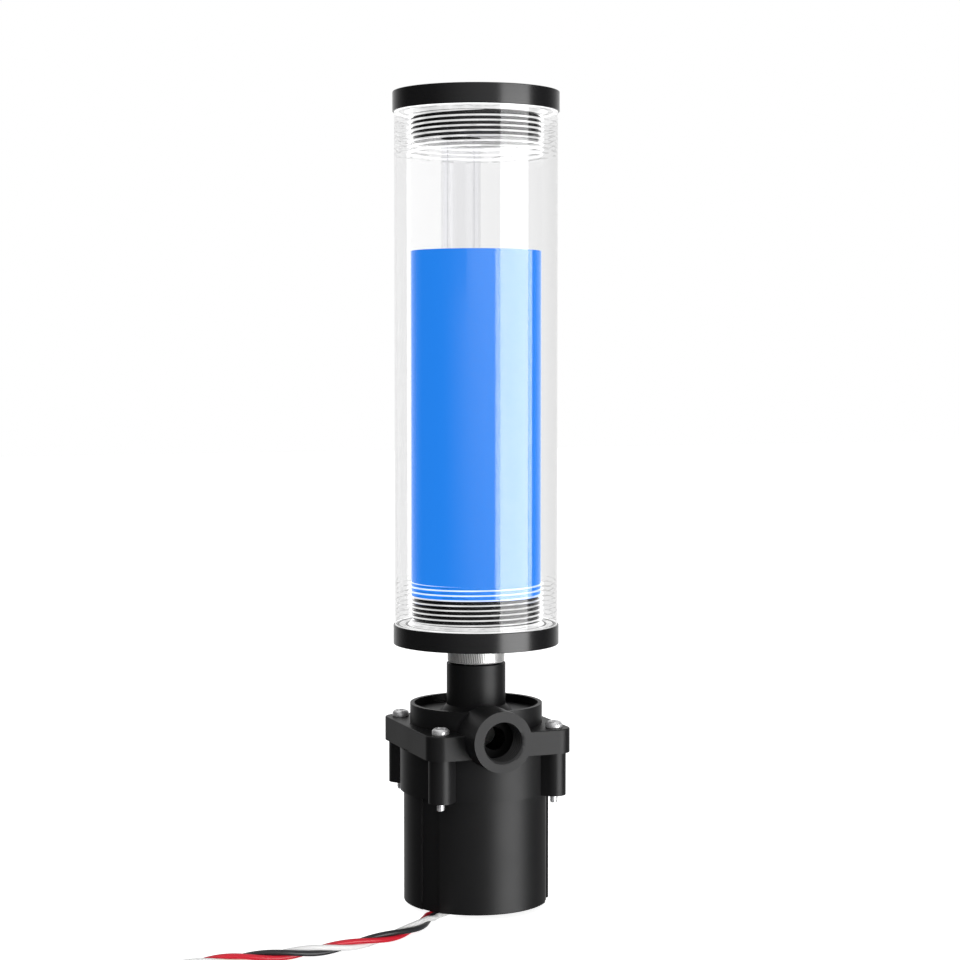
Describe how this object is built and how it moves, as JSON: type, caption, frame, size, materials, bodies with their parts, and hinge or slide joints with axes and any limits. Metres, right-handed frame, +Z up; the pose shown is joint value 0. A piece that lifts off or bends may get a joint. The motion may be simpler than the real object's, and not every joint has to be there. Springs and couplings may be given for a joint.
{
  "type": "coolant pump reservoir",
  "caption": "Small centrifugal coolant pump with a clear tube reservoir on its inlet, a side outlet port, a return port on top and a three-core lead.",
  "frame": {"origin": "on the pump's axis, at the face of the pad that it stands on", "axes": "+Z up along the reservoir, -Y out of the outlet port"},
  "size_m": [0.2297, 0.0715, 0.2516],
  "materials": {
    "pump_plastic": "matte black moulded plastic",
    "cap_plastic": "black acetal, turned, semi-gloss",
    "clear_tube": "clear extruded acrylic, polished",
    "coolant": "opaque blue coolant",
    "plated_brass": "nickel plate, knurled",
    "plated_steel": "bright zinc plate",
    "rubber": "matte black rubber",
    "inner_plastic": "moulded plastic",
    "ferrite": "sintered magnet",
    "ceramic": "polished ceramic",
    "carbon": "carbon bushing",
    "lamination": "stacked steel sheet",
    "copper": "enamelled copper wire",
    "bobbin": "natural nylon",
    "board": "solder-masked circuit board",
    "chip": "epoxy package",
    "can_metal": "sleeved aluminium can",
    "wire": "red, white and black insulation",
    "tie": "black hook-and-loop strip",
    "plug_plastic": "black nylon",
    "contact_metal": "tinned bronze"
  },
  "bodies": {
    "root": {"motor_housing": "pump_plastic", "base_plug": "pump_plastic", "lead_grommet": "rubber", "driver_board": "board", "driver_chip": "chip", "filter_capacitor": "can_metal", "hall_sensor": "chip", "stator_core": "lamination", "coil_bobbins": "bobbin", "stator_windings": "copper", "rotor_cup": "inner_plastic", "rotor_shaft": "ceramic", "thrust_washers": "ceramic", "housing_seal": "rubber", "pump_cover": "pump_plastic", "cover_screws": "plated_steel", "joint_fitting": "plated_brass", "fitting_seals": "rubber", "lower_cap": "cap_plastic", "lower_cap_seal": "rubber", "reservoir_tube": "clear_tube", "coolant": "coolant", "lead_tails": "wire", "lead_run": "wire", "lead_coil": "wire", "lead_tie": "tie", "lead_plug": "plug_plastic", "lead_contacts": "contact_metal"},
    "rotor": {"impeller": "inner_plastic", "rotor_magnet": "ferrite", "rotor_bushing": "carbon"},
    "cap_carrier": {"top_cap_seal": "rubber"},
    "cap": {"top_cap": "cap_plastic", "drop_tube": "clear_tube"},
    "plug_carrier": {"fill_plug_seal": "rubber"},
    "plug": {"fill_plug": "cap_plastic"}
  },
  "joints": [
    {"name": "rotor_spin", "type": "hinge", "parent": "root", "child": "rotor", "pos_m": [0, 0, 0.05], "axis": [0, 0, 1], "continuous": true},
    {"name": "cap_lift", "type": "slide", "parent": "root", "child": "cap_carrier", "axis": [0, 0, 1], "range_m": [0, 0.009], "deforming": ["coolant"]},
    {"name": "cap_turn", "type": "hinge", "parent": "cap_carrier", "child": "cap", "pos_m": [0, 0, 0.24], "axis": [0, 0, 1], "range_deg": [0, 2160]},
    {"name": "plug_lift", "type": "slide", "parent": "cap", "child": "plug_carrier", "axis": [0, 0, 1], "range_m": [0, 0.00702]},
    {"name": "plug_turn", "type": "hinge", "parent": "plug_carrier", "child": "plug", "pos_m": [0.0079, 0.0079, 0.25], "axis": [0, 0, 1], "range_deg": [0, 1890.2]}
  ],
  "couplings": [
    {"joint": "cap_lift", "follows": "cap_turn", "m_per_rad": 0.00023873},
    {"joint": "plug_turn", "follows": "plug_lift", "rad_per_m": 4699.5}
  ]
}
